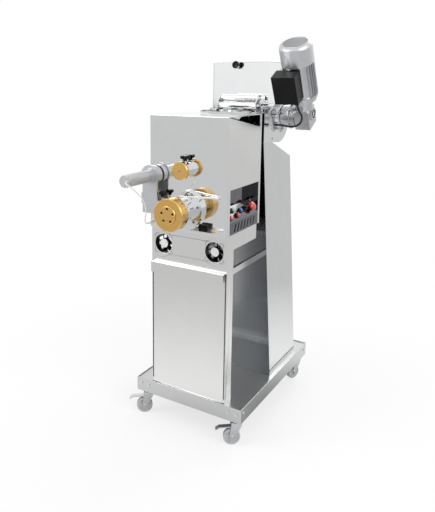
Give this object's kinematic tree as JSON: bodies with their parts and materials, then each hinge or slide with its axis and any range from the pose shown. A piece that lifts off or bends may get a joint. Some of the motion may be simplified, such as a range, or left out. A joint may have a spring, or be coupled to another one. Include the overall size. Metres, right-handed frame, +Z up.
{
  "type": "electric pasta maker",
  "caption": "Floor-standing electric pasta extruder on a castor trolley, with a polished head, brass die, swing-out cutter, mixing tub and side gearmotor.",
  "frame": {"origin": "on the floor under the middle of the base frame", "axes": "+Z up, -Y the front with the brass die, +X the side with the control recess and the gearmotor"},
  "size_m": [0.6053, 0.9063, 1.5252],
  "materials": {
    "black_lead": "matte",
    "black_plastic": "matte",
    "blue_plastic": "gloss",
    "brass": "machined",
    "brushed": "brushed",
    "cast": "cast",
    "chromed": "bright",
    "green_plastic": "gloss",
    "grey_tyre": "matte",
    "polished": "polished",
    "red_plastic": "gloss",
    "turned_alloy": "satin",
    "white_lead": "satin",
    "white_plastic": "satin",
    "zinc": "zinc plated"
  },
  "bodies": {
    "frame": {"base_rails": "brushed", "deck_plate": "brushed", "castor_mounts": "zinc", "fasteners": "zinc", "front_column": "brushed", "fan_frames": "black_plastic", "tie_bars": "brushed", "rear_tower": "polished", "mains_gland": "black_plastic", "head_shell": "polished", "head_side": "brushed", "console": "polished", "button_bezels": "black_plastic", "barrel": "chromed", "extruder_drive": "cast", "post_sleeve": "chromed", "cutter_bracket": "chromed", "cable_plug": "white_plastic", "guard_shelf": "polished", "safety_switch": "black_plastic", "tub": "polished", "feed_frame": "polished", "gearbox": "cast", "motor_body": "cast", "motor_cowl": "turned_alloy", "terminal_box": "black_plastic", "motor_cable": "black_lead", "die": "brass"},
    "fork_front_left": {"fork_front_left": "zinc"},
    "wheel_front_left": {"wheel_front_left": "grey_tyre"},
    "brake_pedal_left": {"brake_pedal_left": "zinc"},
    "fork_front_right": {"fork_front_right": "zinc"},
    "wheel_front_right": {"wheel_front_right": "grey_tyre"},
    "brake_pedal_right": {"brake_pedal_right": "zinc"},
    "fork_rear_left": {"fork_rear_left": "zinc"},
    "wheel_rear_left": {"wheel_rear_left": "grey_tyre"},
    "fork_rear_right": {"fork_rear_right": "zinc"},
    "wheel_rear_right": {"wheel_rear_right": "grey_tyre"},
    "fan_rotor_left": {"fan_rotor_left": "black_plastic"},
    "fan_rotor_right": {"fan_rotor_right": "black_plastic"},
    "front_door": {"front_door": "brushed"},
    "ring_nut": {"ring_nut": "brass"},
    "auger": {"auger": "brushed"},
    "post_plug": {"post_plug": "brass"},
    "post_knob": {"post_knob": "black_plastic"},
    "cutter_arm": {"cutter_arm": "turned_alloy", "cutter_motor": "brushed", "cutter_cable": "white_lead"},
    "cutter_knob": {"cutter_knob": "black_plastic"},
    "red_button_front": {"red_button_front": "red_plastic"},
    "red_button_rear": {"red_button_rear": "red_plastic"},
    "green_button": {"green_button": "green_plastic"},
    "blue_button": {"blue_button": "blue_plastic"},
    "stop_button": {"stop_button": "red_plastic"},
    "selector_knob": {"selector_knob": "black_plastic"},
    "tub_gate": {"tub_gate": "polished"},
    "tub_lid": {"tub_lid": "brushed"},
    "mixer_shaft": {"mixer_shaft": "brushed"},
    "feed_roller_upper": {"feed_roller_upper": "brushed"},
    "feed_roller_lower": {"feed_roller_lower": "brushed"}
  },
  "joints": [
    {"name": "swivel_front_left", "type": "hinge", "parent": "frame", "child": "fork_front_left", "pos_m": [-0.202, -0.308, 0.1], "axis": [0, 0, 1], "continuous": true},
    {"name": "roll_front_left", "type": "hinge", "parent": "fork_front_left", "child": "wheel_front_left", "pos_m": [-0.21674, -0.31832, 0.0325], "axis": [0.5736, -0.8192, 0], "continuous": true},
    {"name": "brake_left", "type": "hinge", "parent": "fork_front_left", "child": "brake_pedal_left", "pos_m": [-0.21511, -0.31718, 0.077], "axis": [0.5736, -0.8192, 0], "range_deg": [0, 10]},
    {"name": "swivel_front_right", "type": "hinge", "parent": "frame", "child": "fork_front_right", "pos_m": [0.202, -0.308, 0.1], "axis": [0, 0, 1], "continuous": true},
    {"name": "roll_front_right", "type": "hinge", "parent": "fork_front_right", "child": "wheel_front_right", "pos_m": [0.18726, -0.31832, 0.0325], "axis": [0.5736, -0.8192, 0], "continuous": true},
    {"name": "brake_right", "type": "hinge", "parent": "fork_front_right", "child": "brake_pedal_right", "pos_m": [0.18889, -0.31718, 0.077], "axis": [0.5736, -0.8192, 0], "range_deg": [0, 10]},
    {"name": "swivel_rear_left", "type": "hinge", "parent": "frame", "child": "fork_rear_left", "pos_m": [-0.202, 0.308, 0.1], "axis": [0, 0, 1], "continuous": true},
    {"name": "roll_rear_left", "type": "hinge", "parent": "fork_rear_left", "child": "wheel_rear_left", "pos_m": [-0.20874, 0.29131, 0.0325], "axis": [0.9272, -0.3746, 0], "continuous": true},
    {"name": "swivel_rear_right", "type": "hinge", "parent": "frame", "child": "fork_rear_right", "pos_m": [0.202, 0.308, 0.1], "axis": [0, 0, 1], "continuous": true},
    {"name": "roll_rear_right", "type": "hinge", "parent": "fork_rear_right", "child": "wheel_rear_right", "pos_m": [0.19526, 0.29131, 0.0325], "axis": [0.9272, -0.3746, 0], "continuous": true},
    {"name": "fan_spin_left", "type": "hinge", "parent": "frame", "child": "fan_rotor_left", "pos_m": [-0.11, -0.325, 0.748], "axis": [0, 1, 0], "continuous": true},
    {"name": "fan_spin_right", "type": "hinge", "parent": "frame", "child": "fan_rotor_right", "pos_m": [0.11, -0.325, 0.748], "axis": [0, 1, 0], "continuous": true},
    {"name": "door_hinge", "type": "hinge", "parent": "frame", "child": "front_door", "pos_m": [0, -0.329, 0.173], "axis": [1, 0, 0], "range_deg": [0, 60]},
    {"name": "ring_nut_turn", "type": "hinge", "parent": "frame", "child": "ring_nut", "pos_m": [0, -0.475, 0.899], "axis": [0, 1, 0], "range_deg": [0, 360]},
    {"name": "auger_spin", "type": "hinge", "parent": "frame", "child": "auger", "pos_m": [0, -0.345, 0.899], "axis": [0, 1, 0], "continuous": true},
    {"name": "post_plug_slide", "type": "slide", "parent": "frame", "child": "post_plug", "axis": [0, -1, 0], "range_m": [0, 0.03]},
    {"name": "post_knob_turn", "type": "hinge", "parent": "frame", "child": "post_knob", "pos_m": [0, -0.364, 1.09], "axis": [0, 0, 1], "range_deg": [0, 360]},
    {"name": "cutter_swing", "type": "hinge", "parent": "frame", "child": "cutter_arm", "pos_m": [-0.172, -0.362, 0.93], "axis": [0, 0, 1], "range_deg": [-90, 0]},
    {"name": "cutter_knob_turn", "type": "hinge", "parent": "cutter_arm", "child": "cutter_knob", "pos_m": [-0.092, -0.371, 0.93], "axis": [0, 0, 1], "range_deg": [0, 360]},
    {"name": "red_button_front_press", "type": "slide", "parent": "frame", "child": "red_button_front", "axis": [-0.8, 0, -0.6], "range_m": [0, 0.003], "stiffness_N_per_m": 400, "springref_m": -0.001},
    {"name": "red_button_rear_press", "type": "slide", "parent": "frame", "child": "red_button_rear", "axis": [-0.8, 0, -0.6], "range_m": [0, 0.003], "stiffness_N_per_m": 400, "springref_m": -0.001},
    {"name": "green_button_press", "type": "slide", "parent": "frame", "child": "green_button", "axis": [-0.8, 0, -0.6], "range_m": [0, 0.003], "stiffness_N_per_m": 400, "springref_m": -0.001},
    {"name": "blue_button_press", "type": "slide", "parent": "frame", "child": "blue_button", "axis": [-0.8, 0, -0.6], "range_m": [0, 0.003], "stiffness_N_per_m": 400, "springref_m": -0.001},
    {"name": "stop_button_press", "type": "slide", "parent": "frame", "child": "stop_button", "axis": [-0.8, 0, -0.6], "range_m": [0, 0.004]},
    {"name": "selector_turn", "type": "hinge", "parent": "frame", "child": "selector_knob", "pos_m": [0.1437, -0.172, 0.8844], "axis": [0.8, 0, 0.6], "range_deg": [-45, 45]},
    {"name": "gate_lift", "type": "slide", "parent": "frame", "child": "tub_gate", "axis": [0, 0, 1], "range_m": [0, 0.11]},
    {"name": "lid_hinge", "type": "hinge", "parent": "frame", "child": "tub_lid", "pos_m": [0, 0.234, 1.427], "axis": [1, 0, 0], "range_deg": [-100, 0]},
    {"name": "mixer_spin", "type": "hinge", "parent": "frame", "child": "mixer_shaft", "pos_m": [0.04, 0.116, 1.221], "axis": [1, 0, 0], "continuous": true},
    {"name": "roller_upper_spin", "type": "hinge", "parent": "frame", "child": "feed_roller_upper", "pos_m": [0.075, -0.078, 1.297], "axis": [1, 0, 0], "continuous": true},
    {"name": "roller_lower_spin", "type": "hinge", "parent": "frame", "child": "feed_roller_lower", "pos_m": [0.075, -0.095, 1.27], "axis": [1, 0, 0], "continuous": true}
  ],
  "couplings": [
    {"joint": "roller_lower_spin", "follows": "roller_upper_spin", "ratio": -1}
  ]
}
